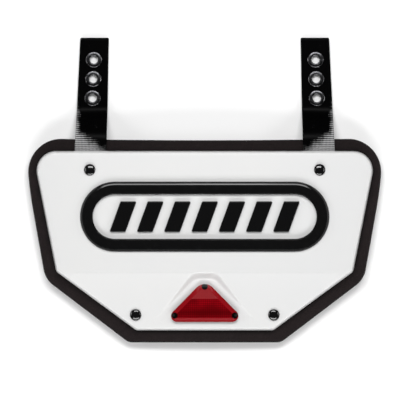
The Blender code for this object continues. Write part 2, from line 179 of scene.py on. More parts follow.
class PlateSizes(bpy.types.PropertyGroup):
    """Fineness and soft forms that the solids leave open."""

    grid_step: FloatProperty(
        name="Grid step", description="Width of a face on the broad surfaces",
        default=4.0 * MM, min=1.0 * MM, unit="LENGTH")
    edge_round: FloatProperty(
        name="Shell edge", description="Radius of the shell's moulded edge",
        default=2.0 * MM, unit="LENGTH")
    pocket_round: FloatProperty(
        name="Pocket edge", description="Width over which the pocket's lip and floor blend",
        default=1.3 * MM, unit="LENGTH")
    crease_round: FloatProperty(
        name="Crease", description="Half width over which the crease blends",
        default=0.9 * MM, unit="LENGTH")
    foam_round: FloatProperty(
        name="Foam edge", description="Radius of the foam sheet's pressed edge",
        default=2.6 * MM, unit="LENGTH")
    foam_crown: FloatProperty(
        name="Foam crown", description="How far the foam's border swells beside the shell",
        default=0.6 * MM, unit="LENGTH")
    lens_bevel: FloatProperty(
        name="Reflector bevel", description="Width of the reflector's bevelled rim",
        default=3.4 * MM, unit="LENGTH")
    rib_pitch: FloatProperty(
        name="Webbing rib", description="Distance between the webbing's ribs",
        default=1.6 * MM, unit="LENGTH")
    turned_steps: IntProperty(
        name="Turned steps", description="Steps round a rivet or grommet", default=48, min=12)


class PlateColours(bpy.types.PropertyGroup):
    """Colours of the plate's materials, as linear light."""

    shell: FloatVectorProperty(
        name="Shell", description="White moulded plastic", subtype="COLOR", size=4,
        default=(0.655, 0.655, 0.65, 1.0))
    foam: FloatVectorProperty(
        name="Foam", description="Brownish black fabric on foam", subtype="COLOR", size=4,
        default=(0.0088, 0.0058, 0.0060, 1.0))
    badge: FloatVectorProperty(
        name="Badge", description="Black gloss", subtype="COLOR", size=4,
        default=(0.0042, 0.0042, 0.0043, 1.0))
    lens: FloatVectorProperty(
        name="Reflector", description="Deep red", subtype="COLOR", size=4,
        default=(0.150, 0.0008, 0.0030, 1.0))
    webbing: FloatVectorProperty(
        name="Webbing", description="Black coated webbing", subtype="COLOR", size=4,
        default=(0.0006, 0.0006, 0.0007, 1.0))
    metal: FloatVectorProperty(
        name="Grommets", description="Dark nickel", subtype="COLOR", size=4,
        default=(0.07, 0.07, 0.075, 1.0))
    floor: FloatVectorProperty(
        name="Floor", description="Studio floor", subtype="COLOR", size=4,
        default=(0.93, 0.93, 0.93, 1.0))


def sizes():
    return bpy.context.scene.plate_sizes


def colours():
    return bpy.context.scene.plate_colours


# Outlines on the plan

def inset_corners(corners, inset):
    """Each side of a convex outline moved in; corners are (x, y, radius, steps)."""
    moved = []
    for index, (x, y, radius, steps) in enumerate(corners):
        here = Vector((x, y))
        before = (here - Vector(corners[index - 1][:2])).normalized()
        after = (Vector(corners[(index + 1) % len(corners)][:2]) - here).normalized()
        middle = Vector((-before.y - after.y, before.x + after.x))
        place = here + middle * (2 * inset / middle.length_squared)
        moved.append((place.x, place.y, max(radius - inset, radius * 0.1), steps))
    return moved


def outline(corners, inset=0.0):
    """Points round a convex outline, anticlockwise, with an arc at each corner."""
    corners = inset_corners(corners, inset)
    points = []
    for index, (x, y, radius, steps) in enumerate(corners):
        here = Vector((x, y))
        before = (here - Vector(corners[index - 1][:2])).normalized()
        after = (Vector(corners[(index + 1) % len(corners)][:2]) - here).normalized()
        turn = -before.angle_signed(after)
        centre = here - before * (radius * math.tan(turn / 2))
        centre += Vector((-before.y, before.x)) * radius
        start = math.atan2(-before.x, before.y)
        for step in range(steps + 1):
            angle = start + turn * step / steps
            points.append((centre.x + radius * math.cos(angle), centre.y + radius * math.sin(angle)))
    return np.array(points)


def outside_of(corners, x, y):
    """How far each point lies outside a convex outline; within it the value is negative."""
    points = outline(corners)
    along = np.roll(points, -1, axis=0) - points
    normal = np.stack([along[:, 1], -along[:, 0]], axis=1)
    normal /= np.maximum(np.linalg.norm(normal, axis=1, keepdims=True), 1e-12)
    return np.max([(x - place[0]) * out[0] + (y - place[1]) * out[1]
                   for place, out in zip(points, normal)], axis=0)


def mirrored(right_half):
    left_half = [(-x, y, radius, steps) for x, y, radius, steps in reversed(right_half)]
    return right_half + left_half


PAD_CORNERS = mirrored([
    (PAD_BOTTOM_WIDTH / 2, 0.0, 10 * MM, 6),
    (PAD_WAIST[0] / 2, PAD_WAIST[1], 22 * MM, 10),
    (PAD_SHOULDER[0] / 2, PAD_SHOULDER[1], 300 * MM, 6),
    (PAD_TOP_WIDTH / 2, PAD_LENGTH + PAD_TOP_RISE, 28.7 * MM, 20),
])
SHELL_CORNERS = mirrored([
    (SHELL_BOTTOM[0] / 2, SHELL_BOTTOM[1], 6 * MM, 6),
    (SHELL_WAIST[0] / 2, SHELL_WAIST[1], 6 * MM, 6),
    (SHELL_TOP[0] / 2, SHELL_TOP[1], 17.1 * MM, 16),
])
HALF_WIDTH = (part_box("foam_pad")[1].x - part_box("foam_pad")[0].x) / 2
CROWN = HALF_WIDTH ** 2 / (2 * BACK_RADIUS)
TUCK = CROWN - (PAD_BOTTOM_WIDTH / 2) ** 2 / (2 * BACK_RADIUS)


# Heights over the floor, for single values and for arrays

def below_crease(y, bottom):
    return np.clip((CREASE_Y - y) / (CREASE_Y - bottom), 0.0, 1.0)


def eased(share):
    """A slope that is steepest at the crease and level at the lower edge."""
    return 1 - (1 - share) ** 2


def pad_back(x, y):
    share = below_crease(y, 0.0)
    drop = TUCK_STRAIGHTNESS * share + (1 - TUCK_STRAIGHTNESS) * eased(share)
    return CROWN - x * x / (2 * BACK_RADIUS) - TUCK * drop


def pad_front(x, y):
    return pad_back(x, y) + PAD_THICKNESS


def shell_depth(y):
    return SHELL_DEPTH - (SHELL_DEPTH - SHELL_DEPTH_BOTTOM) * eased(below_crease(y, SHELL_BOTTOM[1]))


def shell_front(x, y):
    return pad_front(x, y) + GAP + shell_depth(y)


def soft_over_crease(surface, x, y):
    """The surface with its crease rounded over."""
    reach = sizes().crease_round
    return (surface(x, y - reach) + 2 * surface(x, y) + surface(x, y + reach)) / 4


def soft_min(first, second, width):
    """The lower of two heights, blended where they are within the width of each other."""
    share = np.clip(0.5 + 0.5 * (second - first) / width, 0.0, 1.0)
    return second + (first - second) * share - width * share * (1 - share)


def soft_max(first, second, width):
    return -soft_min(-first, -second, width)


def smooth_step(value):
    share = np.clip(value, 0.0, 1.0)
    return share * share * (3 - 2 * share)


def pocket_floor(y):
    top = shell_front(0.0, POCKET_TOP_Y) - POCKET_DEPTH_TOP
    bottom = shell_front(0.0, POCKET_BOTTOM_Y) - POCKET_DEPTH_BOTTOM
    return top + (bottom - top) * (POCKET_TOP_Y - y) / (POCKET_TOP_Y - POCKET_BOTTOM_Y)


def pocket(x, y, wall):
    """The pocket's floor and drafted walls; wall grows it for the shell's inner side."""
    corner = 4.0 * MM
    from_top = y - POCKET_TOP_Y
    from_flank = ((np.abs(x) - POCKET_TOP_WIDTH / 2) * math.sin(POCKET_FLANK)
                  + (y - POCKET_TOP_Y) * math.cos(POCKET_FLANK))
    outside = soft_max(soft_max(from_top, from_flank, corner), POCKET_BOTTOM_Y - y, corner) - wall
    return pocket_floor(y) - wall + soft_max(outside / POCKET_DRAFT, 0.0 * y, sizes().pocket_round)


def surface_turn(x, y):
    """A place on the shell's front whose own +Z is the surface's normal."""
    step = 1.0 * MM
    slope_x = (shell_front(x + step, y) - shell_front(x - step, y)) / (2 * step)
    slope_y = (shell_front(x, y + step) - shell_front(x, y - step)) / (2 * step)
    normal = Vector((-slope_x, -slope_y, 1.0))
    turn = normal.to_track_quat("Z", "Y").to_matrix().to_4x4()
    return Matrix.Translation((x, y, float(shell_front(x, y)))) @ turn


def strap_x(y):
    return STRAP_X - (y - PAD_LENGTH) * math.tan(STRAP_LEAN)


def strap_half_width(y):
    share = np.clip((y - PAD_LENGTH) / (OVERALL_LENGTH - PAD_LENGTH), 0.0, 1.0)
    return (STRAP_ROOT_WIDTH + (STRAP_TIP_WIDTH - STRAP_ROOT_WIDTH) * share) / 2


def strap_under(x, y):
    """Over the pad's border, then down to lie on the grommets' back flanges."""
    down = smooth_step((y - PAD_LENGTH) / (STRAP_FLAT_Y - PAD_LENGTH))
    return (1 - down) * (pad_front(x, y) + GAP) + down * (EYELET_FLANGE + GAP)


# Modelling

def deselect():
    if bpy.context.object and bpy.context.object.mode != "OBJECT":
        bpy.ops.object.mode_set(mode="OBJECT")
    bpy.ops.object.select_all(action="DESELECT")


def points_of(piece):
    flat = np.empty(len(piece.data.vertices) * 3, np.float32)
    piece.data.vertices.foreach_get("co", flat)
    return flat.reshape(-1, 3).astype(float)


def move_points(piece, mapping):
    """Moves every vertex by a mapping of x, y and z arrays."""
    moved = np.stack(mapping(*points_of(piece).T), axis=1)
    piece.data.vertices.foreach_set("co", moved.astype(np.float32).ravel())
    piece.data.update()


def keep_flat_map(piece):
    """A UV map in metres of where each point lies on the flat plan."""
    flat = points_of(piece)
    corners = np.empty(len(piece.data.loops), np.int32)
    piece.data.loops.foreach_get("vertex_index", corners)
    layer = piece.data.uv_layers.new(name="flat")
    layer.data.foreach_set("uv", flat[corners][:, :2].astype(np.float32).ravel())


def mark_points(piece, name, values):
    attribute = piece.data.attributes.new(name, "FLOAT", "POINT")
    attribute.data.foreach_set("value", np.asarray(values, np.float32))


def track_rim(piece, shape):
    """The side of the outline that each selected rim point lies on, and how far along it."""
    mesh = bmesh.from_edit_mesh(piece.data)
    onward = np.roll(shape, -1, axis=0) - shape
    track = {}
    for vert in mesh.verts:
        if vert.select:
            offset = np.array(vert.co[:2]) - shape
            share = np.clip((offset * onward).sum(-1) / (onward ** 2).sum(-1), 0, 1)
            side = np.linalg.norm(offset - share[:, None] * onward, axis=1).argmin()
            track[tuple(vert.co)] = (side, share[side])
    return track


def carry_rim(piece, track, shape, height):
    """Carries the selected rim to the next outline; each point keeps its side and share."""
    mesh = bmesh.from_edit_mesh(piece.data)
    onward = {}
    for vert in mesh.verts:
        if vert.select:
            side, share = track[tuple(vert.co)]
            place = shape[side] + (shape[(side + 1) % len(shape)] - shape[side]) * share
            vert.co = (place[0], place[1], height)
            onward[tuple(vert.co)] = (side, share)
    bmesh.update_edit_mesh(piece.data)
    return onward


def flat_body(name, corners, profile, step, lines=(), fine_zone=None):
    """A closed flat body. A grid is cut to the outline, its edge is drawn out through the
    profile's (inset, height) pairs, and the face is copied as the underside."""
    face = outline(corners, profile[0][0])
    low, high = face.min(axis=0) - step, face.max(axis=0) + step
    middle, reach = (low + high) / 2, high - low
    deselect()
    bpy.ops.mesh.primitive_grid_add(
        x_subdivisions=round(reach[0] / step), y_subdivisions=round(reach[1] / step),
        size=1.0, location=(middle[0], middle[1], profile[0][1]))
    piece = bpy.context.object
    piece.name = name
    piece.data.name = name
    piece.scale = (reach[0], reach[1], 1.0)
    bpy.ops.object.transform_apply(location=True, rotation=True, scale=True)
    bpy.ops.object.mode_set(mode="EDIT")
    for start, end in zip(face, np.roll(face, -1, axis=0)):
        along = (end - start) / np.linalg.norm(end - start)
        bpy.ops.mesh.select_all(action="SELECT")
        bpy.ops.mesh.bisect(plane_co=(start[0], start[1], 0), plane_no=(along[1], -along[0], 0),
                            clear_outer=True, threshold=1e-7)
    for place, normal in lines:
        bpy.ops.mesh.select_all(action="SELECT")
        bpy.ops.mesh.bisect(plane_co=place, plane_no=normal, threshold=1e-7)
    if fine_zone:
        split_zone(piece, *fine_zone)
    bpy.ops.mesh.select_mode(type="FACE")
    bpy.ops.mesh.select_all(action="SELECT")
    bpy.ops.mesh.duplicate()
    bpy.ops.transform.translate(value=(0, 0, profile[-1][1] - profile[0][1]))
    bpy.ops.mesh.flip_normals()
    bpy.ops.mesh.hide(unselected=False)
    bpy.ops.mesh.select_mode(type="EDGE")
    bpy.ops.mesh.select_all(action="DESELECT")
    bpy.ops.mesh.select_non_manifold(extend=False, use_wire=False, use_boundary=True,
                                     use_multi_face=False, use_non_contiguous=False, use_verts=False)
    track = track_rim(piece, face)
    for inset, height in profile[1:]:
        bpy.ops.mesh.extrude_edges_move()
        track = carry_rim(piece, track, outline(corners, inset), height)
    bpy.ops.mesh.reveal()
    close_seams()
    return piece


def split_zone(piece, low_x, high_x, low_y, high_y, cuts, creases=()):
    """Finer faces inside a box on the plan, cut again along the creases of what is pressed there."""
    mesh = bmesh.from_edit_mesh(piece.data)
    bpy.ops.mesh.select_mode(type="FACE")
    for place, normal in [(None, None), *creases]:
        for part in mesh.faces:
            centre = part.calc_center_median()
            part.select_set(low_x < centre.x < high_x and low_y < centre.y < high_y)
        mesh.select_flush(True)
        bmesh.update_edit_mesh(piece.data)
        if place is None:
            bpy.ops.mesh.subdivide(number_cuts=cuts)
        else:
            bpy.ops.mesh.bisect(plane_co=place, plane_no=normal, threshold=1e-7)
        mesh = bmesh.from_edit_mesh(piece.data)
    bpy.ops.mesh.select_all(action="DESELECT")
    bpy.ops.mesh.select_face_by_sides(number=4, type="GREATER")
    bpy.ops.mesh.quads_convert_to_tris(quad_method="BEAUTY", ngon_method="BEAUTY")


def close_seams():
    bpy.ops.mesh.select_all(action="SELECT")
    bpy.ops.mesh.remove_doubles(threshold=2e-6)
    bpy.ops.mesh.delete_loose(use_verts=True, use_edges=True, use_faces=False)
    bpy.ops.mesh.select_all(action="SELECT")
    bpy.ops.mesh.normals_make_consistent(inside=False)
    bpy.ops.object.mode_set(mode="OBJECT")


def profile_loop(name, profile, place):
    """A closed loop of points to spin, from (radius, height) pairs; place gives a point."""
    deselect()
    bpy.ops.mesh.primitive_circle_add(vertices=len(profile), radius=1.0, fill_type="NOTHING")
    piece = bpy.context.object
    piece.name = name
    piece.data.name = name
    for vert, (radius, height) in zip(piece.data.vertices, profile):
        vert.co = place(radius, height)
    bpy.ops.object.mode_set(mode="EDIT")
    bpy.ops.mesh.select_all(action="SELECT")
    return piece


def turned_body(name, profile, steps):
    """A body of revolution about Z."""
    piece = profile_loop(name, profile, lambda radius, height: (radius, 0, height))
    bpy.ops.mesh.spin(steps=steps, angle=2 * math.pi, center=(0, 0, 0), axis=(0, 0, 1))
    bpy.ops.mesh.select_all(action="SELECT")
    bpy.ops.mesh.remove_doubles(threshold=2e-6)
    bpy.ops.mesh.dissolve_degenerate(threshold=2e-6)
    close_seams()
    return piece


def arc(centre, radius, start, end, steps):
    """(inset, height) pairs along an arc, angles in degrees from the inset axis."""
    angles = [math.radians(start + (end - start) * step / steps) for step in range(steps + 1)]
    return [(centre[0] + radius * math.cos(a), centre[1] + radius * math.sin(a)) for a in angles]


def drill(piece, seats, radius, low, high):
    """Clear round holes; each seat is a matrix whose own Z is the hole's axis."""
    for seat in seats:
        deselect()
        bpy.ops.mesh.primitive_cylinder_add(vertices=32, radius=radius, depth=high - low,
                                            location=(0, 0, (low + high) / 2))
        drill_bit = bpy.context.object
        bpy.ops.object.transform_apply(location=True, rotation=True, scale=True)
        drill_bit.data.transform(seat)
        deselect()
        piece.select_set(True)
        bpy.context.view_layer.objects.active = piece
        boolean = piece.modifiers.new("hole", "BOOLEAN")
        boolean.operation = "DIFFERENCE"
        boolean.solver = "EXACT"
        boolean.object = drill_bit
        bpy.ops.object.modifier_apply(modifier=boolean.name)
        bpy.data.objects.remove(drill_bit)


def finish_piece(piece, material, nodes, sharp=35.0):
    """Moves the piece from the plan to its place, shades it and hands it to the frame."""
    piece.data.transform(Matrix.Translation((0, FOOT_Y, 0)))
    deselect()
    piece.select_set(True)
    bpy.context.view_layer.objects.active = piece
    bpy.ops.object.shade_smooth_by_angle(angle=math.radians(sharp))
    piece.data.materials.clear()
    piece.data.materials.append(material)
    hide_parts(*nodes)
    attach(piece, "root")


# Shader building

def add_node(tree, kind, inputs=None, **settings):
    """A node with settings; its inputs, by name or number, are values or sockets to link."""
    node = tree.nodes.new(kind)
    for name, value in settings.items():
        setattr(node, name, value)
    for name, value in (inputs or {}).items():
        socket = node.inputs[name]
        if isinstance(value, bpy.types.NodeSocket):
            tree.links.new(value, socket)
        else:
            socket.default_value = value
    return node


def new_group(name, inputs, outputs):
    """A shader node group; inputs and outputs are (name, socket type, default) rows."""
    group = bpy.data.node_groups.new(name, "ShaderNodeTree")
    for side, rows in (("INPUT", inputs), ("OUTPUT", outputs)):
        for label, kind, default in rows:
            socket = group.interface.new_socket(name=label, in_out=side, socket_type=kind)
            if default is not None:
                socket.default_value = default
    return group, group.nodes.new("NodeGroupInput"), group.nodes.new("NodeGroupOutput")


def noise(tree, vector, scale, detail=3.0, roughness=0.5):
    node = add_node(tree, "ShaderNodeTexNoise",
                    {"Vector": vector, "Scale": scale, "Detail": detail, "Roughness": roughness})
    return node.outputs["Fac"]


def remap(tree, value, low, high, to_low=0.0, to_high=1.0):
    node = add_node(tree, "ShaderNodeMapRange",
                    {"Value": value, "From Min": low, "From Max": high,
                     "To Min": to_low, "To Max": to_high})
    return node.outputs["Result"]


def mix_colour(tree, share, first, second):
    node = add_node(tree, "ShaderNodeMix", {0: share, 6: first, 7: second}, data_type="RGBA")
    return node.outputs[2]


def calculate(tree, operation, first, second=0.5):
    node = add_node(tree, "ShaderNodeMath", {0: first, 1: second}, operation=operation)
    return node.outputs[0]


def grain_group():
    """Fine grain: a mask of mottling and a normal of small bumps."""
    known = bpy.data.node_groups.get("fine_grain")
    if known:
        return known
    group, start, end = new_group(
        "fine_grain",
        [("Vector", "NodeSocketVector", None), ("Mottle Scale", "NodeSocketFloat", 40.0),
         ("Grain Scale", "NodeSocketFloat", 900.0), ("Depth", "NodeSocketFloat", 0.0001),
         ("Normal", "NodeSocketVector", None)],
        [("Mottle", "NodeSocketFloat", None), ("Grain", "NodeSocketFloat", None),
         ("Normal", "NodeSocketVector", None)])
    vector = start.outputs["Vector"]
    mottle = noise(group, vector, start.outputs["Mottle Scale"], 4.0, 0.6)
    grain = noise(group, vector, start.outputs["Grain Scale"], 2.0, 0.6)
    bump = add_node(group, "ShaderNodeBump",
                    {"Strength": 1.0, "Distance": start.outputs["Depth"], "Height": grain,
                     "Normal": start.outputs["Normal"]})
    group.links.new(mottle, end.inputs["Mottle"])
    group.links.new(grain, end.inputs["Grain"])
    group.links.new(bump.outputs["Normal"], end.inputs["Normal"])
    return group


def wear_group():
    """Edge wear: broken marks where the piece's edge attribute is high."""
    known = bpy.data.node_groups.get("edge_wear")
    if known:
        return known
    group, start, end = new_group(
        "edge_wear",
        [("Vector", "NodeSocketVector", None), ("Amount", "NodeSocketFloat", 0.5)],
        [("Wear", "NodeSocketFloat", None), ("Dust", "NodeSocketFloat", None)])
    vector = start.outputs["Vector"]
    edge = add_node(group, "ShaderNodeAttribute", attribute_name="edge").outputs["Fac"]
    broken = remap(group, noise(group, vector, 260.0, 5.0, 0.7), 0.50, 0.72)
    worn = calculate(group, "MULTIPLY", calculate(group, "MULTIPLY", edge, broken),
                     start.outputs["Amount"])
    specks = remap(group, noise(group, vector, 1400.0, 1.0), 0.70, 0.82)
    patches = remap(group, noise(group, vector, 22.0, 2.0), 0.45, 0.75)
    dust = calculate(group, "MULTIPLY", specks, patches)
    group.links.new(worn, end.inputs["Wear"])
    group.links.new(dust, end.inputs["Dust"])
    return group


def use_group(tree, group, inputs):
    return add_node(tree, "ShaderNodeGroup", inputs, node_tree=group).outputs


def new_material(name, settings):
    """A material with its Principled shader and a position in metres to paint by."""
    material = bpy.data.materials.new(name)
    material.use_nodes = True
    tree = material.node_tree
    shader = tree.nodes["Principled BSDF"]
    for label, value in settings.items():
        shader.inputs[label].default_value = value
    place = tree.nodes.new("ShaderNodeTexCoord").outputs["Object"]
    return material, tree, shader, place


def moulded_white():
    """White moulded plastic: a soft gloss, faint mottling and a few scuffs on its edges."""
    material, tree, shader, place = new_material(
        "moulded_white", {"Specular IOR Level": 0.45, "Coat Roughness": 0.2})
    colour = colours().shell
    grain = use_group(tree, grain_group(), {"Vector": place, "Mottle Scale": 14.0,
                                            "Grain Scale": 1500.0, "Depth": 0.000012})
    wear = use_group(tree, wear_group(), {"Vector": place, "Amount": 0.35})
    cooler = [colour[0] * 0.975, colour[1] * 0.978, colour[2] * 0.985, 1.0]
    scuffed = [colour[0] * 0.80, colour[1] * 0.79, colour[2] * 0.77, 1.0]
    base = mix_colour(tree, remap(tree, grain["Mottle"], 0.35, 0.65), list(colour), cooler)
    worn = mix_colour(tree, wear["Wear"], base, scuffed)
    dusty = mix_colour(tree, calculate(tree, "MULTIPLY", wear["Dust"], 0.10), worn, scuffed)
    tree.links.new(dusty, shader.inputs["Base Color"])
    tree.links.new(remap(tree, grain["Mottle"], 0.3, 0.7, 0.30, 0.38), shader.inputs["Roughness"])
    tree.links.new(grain["Normal"], shader.inputs["Normal"])
    return material


def foam_fabric():
    """Fine brushed fabric on foam: short fibres, a soft nap, lint and a painted shade along its edges.
    """
    material, tree, shader, place = new_material(
        "foam_fabric", {"Sheen Weight": 0.12, "Sheen Roughness": 0.45,
                        "Sheen Tint": (0.75, 0.62, 0.62, 1.0), "Specular IOR Level": 0.18})
    colour = colours().foam
    grain = use_group(tree, grain_group(), {"Vector": place, "Mottle Scale": 160.0,
                                            "Grain Scale": 1150.0, "Depth": 0.00022})
    fibres = noise(tree, place, 2600.0, 2.0, 0.7)
    wear = use_group(tree, wear_group(), {"Vector": place, "Amount": 0.5})
    darker = [value * 0.62 for value in colour[:3]] + [1.0]
    lighter = [value * 1.75 for value in colour[:3]] + [1.0]
    lint = [0.085, 0.078, 0.076, 1.0]
    base = mix_colour(tree, remap(tree, grain["Grain"], 0.32, 0.70), darker, lighter)
    mottled = mix_colour(tree, remap(tree, grain["Mottle"], 0.40, 0.62, 0.0, 0.35), base, darker)
    linted = mix_colour(tree, calculate(tree, "MULTIPLY", wear["Dust"], 0.35), mottled, lint)
    # Painted shade: darker along the sheet's rounded outer edge and in a band where it meets the
    # shell's edge.
    pressed = add_node(tree, "ShaderNodeAttribute", attribute_name="pressed").outputs["Fac"]
    with_edge_shade = mix_colour(tree, calculate(tree, "MULTIPLY", pressed, 0.75), linted,
                       [0.0018, 0.0016, 0.0017, 1.0])
    tree.links.new(with_edge_shade, shader.inputs["Base Color"])
    tree.links.new(remap(tree, fibres, 0.3, 0.7, 0.82, 1.0), shader.inputs["Roughness"])
    nap = add_node(tree, "ShaderNodeBump", {"Strength": 1.0, "Distance": 0.00012,
                                            "Height": fibres, "Normal": grain["Normal"]})
    tree.links.new(nap.outputs["Normal"], shader.inputs["Normal"])
    return material


def black_gloss(name, colour, roughness, coat):
    """Black gloss with faint polishing haze, dust specks and rubbed edges."""
    material, tree, shader, place = new_material(
        name, {"Coat Weight": coat, "Coat Roughness": 0.03, "Specular IOR Level": 0.25})
    grain = use_group(tree, grain_group(), {"Vector": place, "Mottle Scale": 60.0,
                                            "Grain Scale": 700.0, "Depth": 0.00001})
    wear = use_group(tree, wear_group(), {"Vector": place, "Amount": 0.2})
    rubbed_and_sheen = [0.030, 0.030, 0.032, 1.0]
    marks = calculate(tree, "MAXIMUM", wear["Wear"], calculate(tree, "MULTIPLY", wear["Dust"], 0.25))
    tree.links.new(mix_colour(tree, marks, list(colour), rubbed_and_sheen), shader.inputs["Base Color"])
    haze = remap(tree, grain["Mottle"], 0.35, 0.7, roughness, roughness + 0.05)
    tree.links.new(haze, shader.inputs["Roughness"])
    tree.links.new(grain["Normal"], shader.inputs["Normal"])
    return material


def badge_gloss():
    return black_gloss("badge_gloss", colours().badge, 0.08, 0.06)


def rivet_gloss():
    return black_gloss("rivet_gloss", colours().badge, 0.10, 0.8)


def spot_mask(tree, across, along):
    """A round mask about the place that the two offsets are measured from."""
    squares = [calculate(tree, "POWER", offset, 2.0) for offset in (across, along)]
    away = calculate(tree, "SQRT", calculate(tree, "ADD", *squares))
    return remap(tree, away, LENS_SPOT_RADIUS - 0.3 * MM, LENS_SPOT_RADIUS + 0.3 * MM, 1.0, 0.0)


def clear_red():
    """Clear red over rows of small prisms, with dark spots where it stands on its posts, and painted
    highlights on its upper facet and bevelled rim.
    """
    material, tree, shader, place = new_material(
        "clear_red", {"Specular IOR Level": 0.04, "Coat Weight": 0.06, "Coat Roughness": 0.04,
                          "Coat IOR": 1.45, "Roughness": 0.25})
    colour = colours().lens
    prisms = add_node(tree, "ShaderNodeTexVoronoi", {"Vector": place, "Scale": 620.0,
                                                     "Randomness": 0.0}, feature="F1")
    depth = prisms.outputs["Distance"]
    clouds = noise(tree, place, 90.0, 3.0)
    darker = [value * 0.45 for value in colour[:3]] + [1.0]
    lit = [min(value * 1.9, 1.0) for value in colour[:3]] + [1.0]
    base = mix_colour(tree, remap(tree, depth, 0.1, 0.65), lit, darker)
    clouded = mix_colour(tree, remap(tree, clouds, 0.4, 0.65, 0.0, 0.5), base, darker)
    apart = add_node(tree, "ShaderNodeSeparateXYZ", {"Vector": place})
    # Painted highlight: the upper facet is lighter red, standing in for a reflection on it.
    on_facet = remap(tree, apart.outputs["Y"], FOOT_Y + LENS_FACET_Y, FOOT_Y + LENS_FACET_Y + 0.3 * MM)
    facet_highlight_red = [min(value * 1.45, 1.0) + 0.020 for value in colour[:3]] + [1.0]
    upper = mix_colour(tree, calculate(tree, "MULTIPLY", on_facet, 0.8), clouded, facet_highlight_red)
    # Painted highlight: the bevelled rim is lighter red.
    bevel_highlight = add_node(tree, "ShaderNodeAttribute", attribute_name="bevel_highlight").outputs["Fac"]
    bevel_highlight_red = [min(value * 1.5, 1.0) + 0.003 for value in colour[:3]] + [1.0]
    banded = mix_colour(tree, bevel_highlight, upper, bevel_highlight_red)
    across = calculate(tree, "SUBTRACT", calculate(tree, "ABSOLUTE", apart.outputs["X"]), LENS_POST[0])
    along = calculate(tree, "SUBTRACT", apart.outputs["Y"], FOOT_Y + LENS_POST[1])
    tip = calculate(tree, "SUBTRACT", apart.outputs["Y"], FOOT_Y + LENS_TIP_Y)
    spot = calculate(tree, "MAXIMUM", spot_mask(tree, across, along),
                     spot_mask(tree, apart.outputs["X"], tip))
    tree.links.new(mix_colour(tree, spot, banded, [0.0015, 0.0012, 0.0013, 1.0]),
                   shader.inputs["Base Color"])
    facet = add_node(tree, "ShaderNodeBump", {"Strength": 0.35, "Distance": 0.0003,
                                              "Height": depth})
    tree.links.new(facet.outputs["Normal"], shader.inputs["Normal"])
    return material


def coated_webbing():
    """Black webbing under a smooth coat, paler over its ribs where it leaves the shell: worn coat with
    a painted sheen.
    """
    material, tree, shader, _ = new_material(
        "coated_webbing", {"Specular IOR Level": 0.02})
    flat = add_node(tree, "ShaderNodeUVMap", uv_map="flat").outputs["UV"]
    colour = colours().webbing
    pitch = sizes().rib_pitch
    apart = add_node(tree, "ShaderNodeSeparateXYZ", {"Vector": flat})
    across, along = apart.outputs["X"], apart.outputs["Y"]
    wobble = calculate(tree, "MULTIPLY", noise(tree, flat, 300.0, 2.0), 0.5 * MM)
    rib_at = calculate(tree, "ADD", along, wobble)
    rib = calculate(tree, "SINE", calculate(tree, "MULTIPLY", rib_at, 2 * math.pi / pitch))
    cord = calculate(tree, "SINE", calculate(tree, "MULTIPLY", across, 2 * math.pi / (pitch * 0.75)))
    weave = calculate(tree, "ADD", calculate(tree, "MULTIPLY", rib, 0.65),
                      calculate(tree, "MULTIPLY", cord, 0.35))
    height = calculate(tree, "ADD", weave, noise(tree, flat, 1800.0, 3.0, 0.6))
    # Painted sheen mixed with worn coat: the root's pale patch over the ribs, which also sets roughness
    # and rib depth there.
    rubbed_and_sheen = add_node(tree, "ShaderNodeAttribute", attribute_name="rubbed_and_sheen").outputs["Fac"]
    patches = noise(tree, flat, 170.0, 5.0, 0.65)
    bare_and_sheen = calculate(tree, "ADD", rubbed_and_sheen, calculate(tree, "MULTIPLY", patches, 0.9))
    bare_and_sheen = calculate(tree, "ADD", bare_and_sheen, calculate(tree, "MULTIPLY", weave, 0.16))
    bare_and_sheen = remap(tree, bare_and_sheen, 0.72, 1.12)
    sheen_and_worn_grey = mix_colour(tree, remap(tree, height, -0.3, 1.5), [0.030, 0.030, 0.031, 1.0],
                      [0.50, 0.50, 0.505, 1.0])
    tree.links.new(mix_colour(tree, bare_and_sheen, list(colour), sheen_and_worn_grey), shader.inputs["Base Color"])
    tree.links.new(remap(tree, bare_and_sheen, 0.0, 1.0, 0.32, 0.6), shader.inputs["Roughness"])
    deep = calculate(tree, "MULTIPLY", height, remap(tree, bare_and_sheen, 0.0, 1.0, 0.05, 1.0))
    bump = add_node(tree, "ShaderNodeBump", {"Strength": 1.0, "Distance": 0.00012, "Height": deep})
    tree.links.new(bump.outputs["Normal"], shader.inputs["Normal"])
    return material


def dark_nickel():
    """Dark plated brass: polished on the roll, rubbed brighter on its rim."""
    material, tree, shader, place = new_material("dark_nickel", {"Metallic": 1.0})
    colour = colours().metal
    grain = use_group(tree, grain_group(), {"Vector": place, "Mottle Scale": 350.0,
                                            "Grain Scale": 2400.0, "Depth": 0.00001})
    wear = use_group(tree, wear_group(), {"Vector": place, "Amount": 0.8})
    bright = [0.55, 0.55, 0.56, 1.0]
    dull = [value * 0.7 for value in colour[:3]] + [1.0]
    base = mix_colour(tree, remap(tree, grain["Mottle"], 0.4, 0.65), list(colour), dull)
    tree.links.new(mix_colour(tree, wear["Wear"], base, bright), shader.inputs["Base Color"])
    tree.links.new(remap(tree, grain["Mottle"], 0.3, 0.7, 0.18, 0.32), shader.inputs["Roughness"])
    tree.links.new(grain["Normal"], shader.inputs["Normal"])
    return material


def studio_floor():
    material, tree, shader, place = new_material("studio_floor", {"Roughness": 0.9,
                                                                  "Specular IOR Level": 0.0})
    colour = colours().floor
    softer = [value * 0.99 for value in colour[:3]] + [1.0]
    cloud = remap(tree, noise(tree, place, 3.0, 2.0), 0.4, 0.6)
    tree.links.new(mix_colour(tree, cloud, list(colour), softer), shader.inputs["Base Color"])
    return material


def known_material(name, make):
    return bpy.data.materials.get(name) or make()


# The pieces

